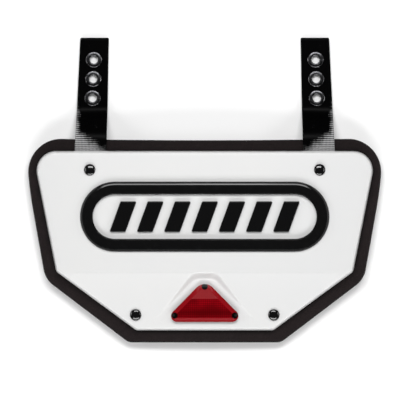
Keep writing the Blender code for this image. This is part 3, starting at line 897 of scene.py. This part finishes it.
class BACKPLATE_OT_foam_pad(bpy.types.Operator):
    """Model the foam pad: a pressed sheet that swells a little round the shell"""

    bl_idname = "backplate.foam_pad"
    bl_label = "Foam Pad"

    def execute(self, context):
        size = sizes()
        radius = size.foam_round
        profile = arc((radius, PAD_THICKNESS - radius), radius, 90, 180, 6)
        profile += arc((radius / 2, radius / 2), radius / 2, 180, 270, 3)
        profile.append((radius, 0.0))
        piece = flat_body("foam_sheet", PAD_CORNERS, profile, size.grid_step,
                          lines=[((0, CREASE_Y, 0), (0, 1, 0))])
        top_half = PAD_TOP_WIDTH / 2 - 25 * MM
        flat = points_of(piece)
        from_shell = outside_of(SHELL_CORNERS, flat[:, 0], flat[:, 1])
        from_rim = -outside_of(PAD_CORNERS, flat[:, 0], flat[:, 1])
        # Painted shade: a mask for the rounded rim and for where the foam meets the shell, which the
        # material darkens.
        pressed = np.exp(-(np.maximum(from_shell, 0) / (1.1 * MM)) ** 2)
        rim_shade = 1 - smooth_step((from_rim - 0.4 * MM) / (1.6 * MM))
        mark_points(piece, "pressed", np.maximum(pressed, rim_shade))

        def bend(x, y, z):
            upper = np.clip((y - PAD_LENGTH * 0.75) / (PAD_LENGTH * 0.25), 0, 1)
            dip = PAD_TOP_DIP * upper * np.clip(1 - (x / top_half) ** 2, 0, 1)
            border = smooth_step(outside_of(SHELL_CORNERS, x, y) / (4 * MM))
            strap_clear = smooth_step((np.abs(np.abs(x) - strap_x(y)) - strap_half_width(y)) / (4 * MM))
            strap_clear = np.where(y > PAD_LENGTH / 2, strap_clear, 1.0)
            swell = size.foam_crown * border * strap_clear * (z / PAD_THICKNESS) ** 2
            return x, y - dip, z + pad_back(x, y) + swell

        move_points(piece, bend)
        drill(piece, [surface_turn(*place) for place in rivet_places().values()],
              RIVET_SHANK_RADIUS + 0.5 * MM, -30 * MM, 20 * MM)
        finish_piece(piece, known_material("foam_fabric", foam_fabric), ["foam_pad"])
        return {"FINISHED"}


class BACKPLATE_OT_back_shell(bpy.types.Operator):
    """Model the white shell: hollow behind, creased, with the reflector's pocket pressed in"""

    bl_idname = "backplate.back_shell"
    bl_label = "Back Shell"

    def execute(self, context):
        size = sizes()
        radius = size.edge_round
        shoulder = SHELL_DEPTH - radius
        side = SHELL_DRAFT * shoulder
        inner_depth = SHELL_DEPTH - SHELL_WALL
        face_inset = side + radius + 2 * SHELL_WALL
        profile = [(face_inset, SHELL_DEPTH)]
        profile += arc((side + radius, shoulder), radius, 90, 170, 6)
        profile += [(0.2 * MM, 0.5 * MM), (0.3 * MM, 0.05 * MM), (0.6 * MM, 0.0),
                    (SHELL_WALL, 0.0), (SHELL_WALL + side, inner_depth - 0.6 * MM),
                    (SHELL_WALL + side + 0.6 * MM, inner_depth), (face_inset, inner_depth)]
        lines = [((0, CREASE_Y + offset * MM, 0), (0, 1, 0))
                 for offset in (-3, -1.8, -0.9, 0, 0.9, 1.8, 3)]
        slot_edges = []
        for end in (-1, 1):
            for offset in (-1.2, -0.8):
                slot_edges.append(STRAP_X + end * (STRAP_ROOT_WIDTH / 2 - offset * MM))
        for x in slot_edges:
            lines += [((x, 0, 0), (1, 0, 0)), ((-x, 0, 0), (1, 0, 0))]
        reach = POCKET_TOP_WIDTH / 2 + (POCKET_TOP_Y - POCKET_BOTTOM_Y) + 8 * MM
        creases = []
        for side_of in (-1, 1):
            across = (side_of * math.sin(POCKET_FLANK), math.cos(POCKET_FLANK), 0)
            for offset in (-0.9, -0.3, 0.3, 0.9, 1.8, 2.8, 3.8, 4.6, 5.4):
                place = (side_of * POCKET_TOP_WIDTH / 2 + across[0] * offset * MM,
                         POCKET_TOP_Y + across[1] * offset * MM, 0)
                creases.append((place, across))
        zone = (-reach, reach, SHELL_BOTTOM[1] + face_inset * 0.2, CREASE_Y + 4 * MM, 3, creases)
        piece = flat_body("shell_skin", SHELL_CORNERS, profile, size.grid_step, lines, zone)
        height = points_of(piece)[:, 2]
        edge = np.where(height > SHELL_DEPTH * 0.75, 1.0, 0.3)

        def bend(x, y, z):
            scale = soft_over_crease(lambda _, at: shell_depth(at), x, y) / SHELL_DEPTH
            base = soft_over_crease(pad_front, x, y) + GAP
            lifted = base + z * scale
            outer = z > SHELL_DEPTH - 0.1 * MM
            inner = np.abs(z - inner_depth) < 0.05 * MM
            pressed = np.where(outer, soft_min(lifted, pocket(x, y, 0.0), size.pocket_round), lifted)
            pressed = np.where(inner, np.minimum(lifted, pocket(x, y, SHELL_WALL)), pressed)
            across = np.abs(np.abs(x) - STRAP_X)
            in_slot = (across < STRAP_ROOT_WIDTH / 2 + 1.0 * MM) & (y > SHELL_TOP[1] - 8 * MM)
            slot_height = STRAP_THICKNESS + 0.9 * MM
            notched = np.where(in_slot & (z < slot_height), base + slot_height + z * 0.05, pressed)
            return x, y, notched

        flat = points_of(piece)
        move_points(piece, bend)
        bent = points_of(piece)
        fall = shell_front(bent[:, 0], bent[:, 1]) - bent[:, 2]
        on_face = flat[:, 2] > SHELL_DEPTH - 0.1 * MM
        lip = np.exp(-(fall / (0.8 * MM)) ** 2) * (fall > 0.05 * MM)
        mark_points(piece, "edge", np.where(on_face, np.maximum(lip, 0.0), edge))
        drill(piece, [surface_turn(*place) for place in rivet_places().values()],
              RIVET_SHANK_RADIUS + 0.5 * MM, -SHELL_DEPTH, SHELL_DEPTH)
        finish_piece(piece, known_material("moulded_white", moulded_white), ["back_shell"])
        return {"FINISHED"}


class BACKPLATE_OT_badge_ring(bpy.types.Operator):
    """Model the raised black ring: its section is spun round both ends and drawn straight"""

    bl_idname = "backplate.badge_ring"
    bl_label = "Badge Ring"

    def execute(self, context):
        low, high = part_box("badge_ring")
        radius = (high.y - low.y) / 2
        reach = (high.x - low.x) / 2 - radius
        middle_y = (high.y + low.y) / 2 - FOOT_Y
        bevel = BADGE_BEVEL
        section = outline([
            (0.0, 0.0, 0.12 * MM, 2),
            (BADGE_BAND, 0.0, 0.12 * MM, 2),
            (BADGE_BAND - 0.15 * MM, BADGE_RAISE - 0.7 * MM, 0.3 * MM, 3),
            (BADGE_BAND - 0.8 * MM, BADGE_RAISE, 0.5 * MM, 3),
            (bevel + 1.2 * MM, BADGE_RAISE, 0.4 * MM, 3),
            (bevel, BADGE_RAISE - 0.34 * MM, 0.4 * MM, 3),
            (0.35 * MM, BADGE_RAISE - bevel, 0.5 * MM, 3),
        ])
        piece = profile_loop("ring_band", section,
                             lambda inset, height: (reach, inset - radius, height))
        straight_cuts = 24
        for side in (1, -1):
            bpy.ops.mesh.spin(steps=40, angle=math.pi, center=(side * reach, 0, 0), axis=(0, 0, -1))
            for _ in range(straight_cuts):
                bpy.ops.mesh.extrude_edges_move(
                    TRANSFORM_OT_translate={"value": (-side * 2 * reach / straight_cuts, 0, 0)})
        close_seams()
        flat = points_of(piece)
        rim = np.abs(np.hypot(np.maximum(np.abs(flat[:, 0]) - reach, 0), flat[:, 1]))
        inset = radius - rim
        from_edge = np.minimum(inset, BADGE_BAND - inset)
        mark_points(piece, "edge", np.exp(-((from_edge - bevel * 1.4) / (0.7 * MM)) ** 2))
        move_points(piece, lambda x, y, z: (x, y + middle_y,
                                            shell_front(x, y + middle_y) + GAP + z))
        material = known_material("badge_gloss", badge_gloss)
        finish_piece(piece, material, ["badge_ring"])
        return {"FINISHED"}


class BACKPLATE_OT_badge_bars(bpy.types.Operator):
    """Model one raised slanted bar and copy it along the badge"""

    bl_idname = "backplate.badge_bars"
    bl_label = "Badge Bars"

    def execute(self, context):
        low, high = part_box("badge_ring")
        middle_y = (high.y + low.y) / 2 - FOOT_Y
        lean = BAR_HEIGHT * math.tan(BAR_SLANT) / 2
        pitch = (BAR_ROW_LENGTH - BAR_WIDTH - 2 * lean) / (BAR_COUNT - 1)
        corners = [(across * BAR_WIDTH / 2 + up * lean, middle_y + up * BAR_HEIGHT / 2, 1.2 * MM, 5)
                   for across, up in ((-1, -1), (1, -1), (1, 1), (-1, 1))]
        round_over = 0.6 * MM
        profile = [(round_over + 1.0 * MM, BAR_RAISE)]
        profile += arc((round_over + 0.2 * MM, BAR_RAISE - round_over), round_over, 90, 170, 5)
        profile += [(0.0, 0.1 * MM), (0.1 * MM, 0.0), (round_over + 1.0 * MM, 0.0)]
        first = flat_body("raised_bar", corners, profile, 2.5 * MM)
        flat = points_of(first)
        on_round = np.abs(flat[:, 2] - BAR_RAISE + 0.2 * MM) < 0.19 * MM
        mark_points(first, "edge", on_round * 1.0)
        material = known_material("badge_gloss", badge_gloss)
        for index in range(BAR_COUNT):
            piece = first.copy()
            piece.data = first.data.copy()
            piece.name = f"raised_bar_{index + 1}"
            piece.data.name = piece.name
            context.scene.collection.objects.link(piece)
            shift = (index - (BAR_COUNT - 1) / 2) * pitch
            move_points(piece, lambda x, y, z: (x + shift, y, shell_front(x + shift, y) + GAP + z))
            finish_piece(piece, material, [f"badge_bar_{index + 1}"])
        bpy.data.objects.remove(first)
        return {"FINISHED"}


class BACKPLATE_OT_reflector(bpy.types.Operator):
    """Model the red reflector: a rounded triangle with a bevelled rim"""

    bl_idname = "backplate.reflector"
    bl_label = "Reflector"

    def execute(self, context):
        bevel = sizes().lens_bevel
        drop = 1.8 * MM
        half = LENS_WIDTH / 2
        apex = LENS_BOTTOM_Y + half * math.tan(POCKET_FLANK)
        corners = [(half, LENS_BOTTOM_Y, 5.2 * MM, 10), (0.0, apex, 9.6 * MM, 14),
                   (-half, LENS_BOTTOM_Y, 5.2 * MM, 10)]
        top = LENS_THICKNESS
        profile = [
            (bevel + 0.4 * MM, top), (bevel + 0.1 * MM, top - 0.01 * MM),
            (bevel - 0.2 * MM, top - 0.10 * MM), (0.45 * MM, top - drop + 0.16 * MM),
            (0.15 * MM, top - drop - 0.05 * MM), (0.0, top - drop - 0.4 * MM),
            (0.0, 0.1 * MM), (0.1 * MM, 0.0), (bevel + 0.4 * MM, 0.0),
        ]
        piece = flat_body("reflector_lens", corners, profile, 1.5 * MM,
                          lines=[((0, LENS_FACET_Y, 0), (0, 1, 0))])
        # The bevel is marked for a painted highlight in the material.
        flat = points_of(piece)
        from_rim = -outside_of(corners, flat[:, 0], flat[:, 1])
        on_bevel = (from_rim < bevel + 0.2 * MM) & (flat[:, 2] > top - drop - 0.1 * MM)
        mark_points(piece, "bevel_highlight", on_bevel * 1.0)

        def tilt(x, y, z):
            fall = LENS_FACET_FALL * np.maximum(y - LENS_FACET_Y, 0) * (z / top) ** 2
            return x, y, pocket_floor(y) + GAP + z - fall

        move_points(piece, tilt)
        finish_piece(piece, known_material("clear_red", clear_red), ["reflector"],
                     sharp=7.0)
        return {"FINISHED"}


class BACKPLATE_OT_straps(bpy.types.Operator):
    """Model the two webbing straps, laid from under the shell down to the floor"""

    bl_idname = "backplate.straps"
    bl_label = "Straps"

    def execute(self, context):
        root, tip = STRAP_ROOT_WIDTH / 2, STRAP_TIP_WIDTH / 2
        corners = [(-root, STRAP_ROOT_Y, 0.4 * MM, 2), (root, STRAP_ROOT_Y, 0.4 * MM, 2),
                   (root, PAD_LENGTH, 0.4 * MM, 1), (tip, OVERALL_LENGTH, 1.2 * MM, 4),
                   (-tip, OVERALL_LENGTH, 1.2 * MM, 4), (-root, PAD_LENGTH, 0.4 * MM, 1)]
        radius = STRAP_THICKNESS * 0.35
        profile = arc((radius, STRAP_THICKNESS - radius), radius, 90, 180, 3)
        profile += arc((radius, radius), radius, 180, 270, 3)
        for side, name in ((-1, "left"), (1, "right")):
            piece = flat_body("webbing_" + name, corners, profile, 2.0 * MM)
            keep_flat_map(piece)
            flat = points_of(piece)
            # Painted sheen mixed with worn coat: a pale patch at each strap's root, strongest at its
            # outer corner and along its outer edge, where the webbing bends down from the shell.
            from_outer = strap_half_width(flat[:, 1]) - flat[:, 0]
            from_shell = flat[:, 1] - SHELL_TOP[1]
            corner = 1.25 - from_shell / (20 * MM) - from_outer / (28 * MM)
            outer_edge_sheen = (1 - from_shell / (52 * MM)) * np.exp(-(from_outer / (3.0 * MM)) ** 2)
            mark_points(piece, "rubbed_and_sheen", np.clip(np.maximum(corner, outer_edge_sheen), 0, 1))

            def lay(x, y, z):
                step = 0.5 * MM
                place_x = strap_x(y) + x
                slope = (strap_under(place_x, y + step) - strap_under(place_x, y - step)) / (2 * step)
                length = np.hypot(slope, 1.0)
                return (side * place_x, y - z * slope / length,
                        strap_under(place_x, y) + z / length)

            move_points(piece, lay)
            bpy.ops.object.mode_set(mode="EDIT")
            close_seams()
            seats = [Matrix.Translation((x, y - FOOT_Y, 0)) for x, y in eyelet_centres(name)]
            drill(piece, seats, EYELET_HOLE_RADIUS + EYELET_TUBE_WALL + GAP, -5 * MM, 10 * MM)
            rivet = surface_turn(*rivet_places()["upper_" + name])
            drill(piece, [rivet], RIVET_SHANK_RADIUS + 0.5 * MM, -20 * MM, 10 * MM)
            finish_piece(piece, known_material("coated_webbing", coated_webbing),
                         ["strap_" + name])
        return {"FINISHED"}


def eyelet_centres(name):
    """World x and y of one strap's eyelets, tip first."""
    places = []
    for index in range(3):
        low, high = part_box(f"eyelet_{name}_{index + 1}")
        places.append(((low.x + high.x) / 2, (low.y + high.y) / 2))
    return places


class BACKPLATE_OT_eyelets(bpy.types.Operator):
    """Turn one rolled grommet and set a copy in each strap hole"""

    bl_idname = "backplate.eyelets"
    bl_label = "Eyelets"

    def execute(self, context):
        low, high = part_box("eyelet_left_1")
        outer = (high.x - low.x) / 2
        top = high.z - low.z
        hole = EYELET_HOLE_RADIUS
        tube = hole + EYELET_TUBE_WALL
        roll = 0.9 * MM
        section = arc((hole + roll, top - roll), roll, 180, 90, 6)
        section += [(outer - 1.6 * MM, top - 0.03 * MM), (outer - 0.9 * MM, top - 0.14 * MM),
                    (outer - 0.4 * MM, top - 0.32 * MM), (outer - 0.1 * MM, top - 0.52 * MM),
                    (outer, top - EYELET_FLANGE + 0.05 * MM), (outer - 0.12 * MM, top - EYELET_FLANGE),
                    (tube, top - EYELET_FLANGE), (tube, EYELET_FLANGE),
                    (outer - 0.1 * MM, EYELET_FLANGE), (outer, EYELET_FLANGE * 0.6),
                    (outer - 0.3 * MM, 0.08 * MM), (outer - 0.9 * MM, 0.0), (hole + roll, 0.0)]
        section += arc((hole + roll * 0.6, roll * 0.6), roll * 0.6, 250, 180, 3)
        first = turned_body("grommet", section, sizes().turned_steps)
        flat = points_of(first)
        from_axis = np.hypot(flat[:, 0], flat[:, 1])
        on_rim = (from_axis > outer - 0.5 * MM) | (from_axis < hole + 0.3 * MM)
        mark_points(first, "edge", on_rim * 1.0)
        material = known_material("dark_nickel", dark_nickel)
        for name in ("left", "right"):
            for index, (x, y) in enumerate(eyelet_centres(name)):
                piece = first.copy()
                piece.data = first.data.copy()
                piece.name = f"grommet_{name}_{index + 1}"
                piece.data.name = piece.name
                context.scene.collection.objects.link(piece)
                piece.data.transform(Matrix.Translation((x, y - FOOT_Y, low.z)))
                finish_piece(piece, material, [f"eyelet_{name}_{index + 1}"])
        bpy.data.objects.remove(first)
        return {"FINISHED"}


def rivet_places():
    """Plan x and y of each rivet."""
    upper_x = strap_x(RIVET_UPPER_Y)
    return {
        "upper_left": (-upper_x, RIVET_UPPER_Y),
        "upper_right": (upper_x, RIVET_UPPER_Y),
        "lower_left": (-RIVET_LOWER[0], RIVET_LOWER[1]),
        "lower_right": RIVET_LOWER,
    }


class BACKPLATE_OT_rivets(bpy.types.Operator):
    """Turn the domed rivets and seat them on the shell"""

    bl_idname = "backplate.rivets"
    bl_label = "Rivets"

    def execute(self, context):
        head = RIVET_HEAD_RADIUS
        material = known_material("rivet_gloss", rivet_gloss)
        for name, (x, y) in rivet_places().items():
            bottom = -(float(shell_depth(y)) + GAP + PAD_THICKNESS - RIVET_BACK_RECESS)
            section = [(0.0, GAP), (0.0, bottom), (head, bottom), (head, bottom + RIVET_BACK_THICKNESS),
                       (RIVET_SHANK_RADIUS, bottom + RIVET_BACK_THICKNESS), (RIVET_SHANK_RADIUS, GAP),
                       (head - 0.25 * MM, GAP), (head, GAP + 0.2 * MM)]
            for degrees in range(8, 91, 8):
                angle = math.radians(degrees)
                section.append((head * math.cos(angle),
                                GAP + 0.2 * MM + (RIVET_HEAD_HEIGHT - 0.2 * MM) * math.sin(angle)))
            section.append((0.0, GAP + RIVET_HEAD_HEIGHT))
            piece = turned_body("dome_rivet_" + name, section, sizes().turned_steps)
            flat = points_of(piece)
            from_axis = np.hypot(flat[:, 0], flat[:, 1])
            mark_points(piece, "edge", (from_axis > head - 0.4 * MM) * 1.0)
            piece.data.transform(surface_turn(x, y))
            finish_piece(piece, material, ["rivet_" + name])
        return {"FINISHED"}


class BACKPLATE_OT_stage(bpy.types.Operator):
    """Lay the studio floor and set the lights and the camera over the plate"""

    bl_idname = "backplate.stage"
    bl_label = "Stage"

    def execute(self, context):
        deselect()
        bpy.ops.mesh.primitive_plane_add(size=8.0, location=(0, 0, -0.2 * MM))
        floor = context.object
        floor.name = "studio_floor"
        floor.data.materials.append(known_material("studio_floor", studio_floor))
        for light in LIGHTS:
            self.add_light(*light)
        self.set_world(context)
        self.set_camera(context)
        return {"FINISHED"}

    @staticmethod
    def add_light(name, place, size, watts):
        data = bpy.data.lights.new(name, "AREA")
        data.shape = "RECTANGLE"
        data.size, data.size_y = size
        data.energy = watts
        light = bpy.data.objects.new(name, data)
        light.location = place
        light.rotation_mode = "QUATERNION"
        light.rotation_quaternion = Vector(place).to_track_quat("Z", "Y")
        bpy.context.scene.collection.objects.link(light)

    @staticmethod
    def set_world(context):
        world = bpy.data.worlds.new("studio")
        world.use_nodes = True
        background = world.node_tree.nodes["Background"]
        background.inputs["Color"].default_value = (1.0, 1.0, 1.0, 1.0)
        background.inputs["Strength"].default_value = 0.02
        context.scene.world = world
        context.scene.view_settings.view_transform = "Standard"

    @staticmethod
    def set_camera(context):
        data = bpy.data.cameras.new("camera")
        height_seen = (PAD_THICKNESS + SHELL_DEPTH) / 2 + CROWN
        width_seen = PHOTO_PIXELS * MM_PER_PIXEL * MM
        data.sensor_width = SENSOR_WIDTH
        data.lens = SENSOR_WIDTH * (CAMERA_HEIGHT - height_seen) / width_seen
        data.clip_end = 40.0
        camera = bpy.data.objects.new("camera", data)
        centre = PHOTO_PIXELS / 2
        camera.location = ((centre - PIXEL_OF_AXIS) * MM_PER_PIXEL * MM,
                           (PIXEL_OF_MIDDLE - centre) * MM_PER_PIXEL * MM, CAMERA_HEIGHT)
        context.scene.collection.objects.link(camera)
        context.scene.camera = camera


class BACKPLATE_PT_panel(bpy.types.Panel):
    """Sizes, colours and the steps that build the plate"""

    bl_idname = "BACKPLATE_PT_panel"
    bl_label = "Football Back Plate"
    bl_space_type = "VIEW_3D"
    bl_region_type = "UI"
    bl_category = "Back Plate"

    def draw(self, context):
        layout = self.layout
        for group in (context.scene.plate_sizes, context.scene.plate_colours):
            box = layout.box()
            for name in group.__annotations__:
                box.prop(group, name)
        for step in STEPS:
            layout.operator(step.bl_idname)


STEPS = (
    BACKPLATE_OT_foam_pad,
    BACKPLATE_OT_back_shell,
    BACKPLATE_OT_badge_ring,
    BACKPLATE_OT_badge_bars,
    BACKPLATE_OT_reflector,
    BACKPLATE_OT_straps,
    BACKPLATE_OT_eyelets,
    BACKPLATE_OT_rivets,
    BACKPLATE_OT_stage,
)
CLASSES = (PlateSizes, PlateColours, *STEPS, BACKPLATE_PT_panel)


def register():
    for cls in CLASSES:
        bpy.utils.register_class(cls)
    bpy.types.Scene.plate_sizes = PointerProperty(type=PlateSizes)
    bpy.types.Scene.plate_colours = PointerProperty(type=PlateColours)


def unregister():
    del bpy.types.Scene.plate_colours
    del bpy.types.Scene.plate_sizes
    for cls in reversed(CLASSES):
        bpy.utils.unregister_class(cls)


def main():
    register()
    bpy.ops.backplate.foam_pad()
    bpy.ops.backplate.back_shell()
    bpy.ops.backplate.badge_ring()
    bpy.ops.backplate.badge_bars()
    bpy.ops.backplate.reflector()
    bpy.ops.backplate.straps()
    bpy.ops.backplate.eyelets()
    bpy.ops.backplate.rivets()
    bpy.ops.backplate.stage()


if __name__ == "__main__":
    main()
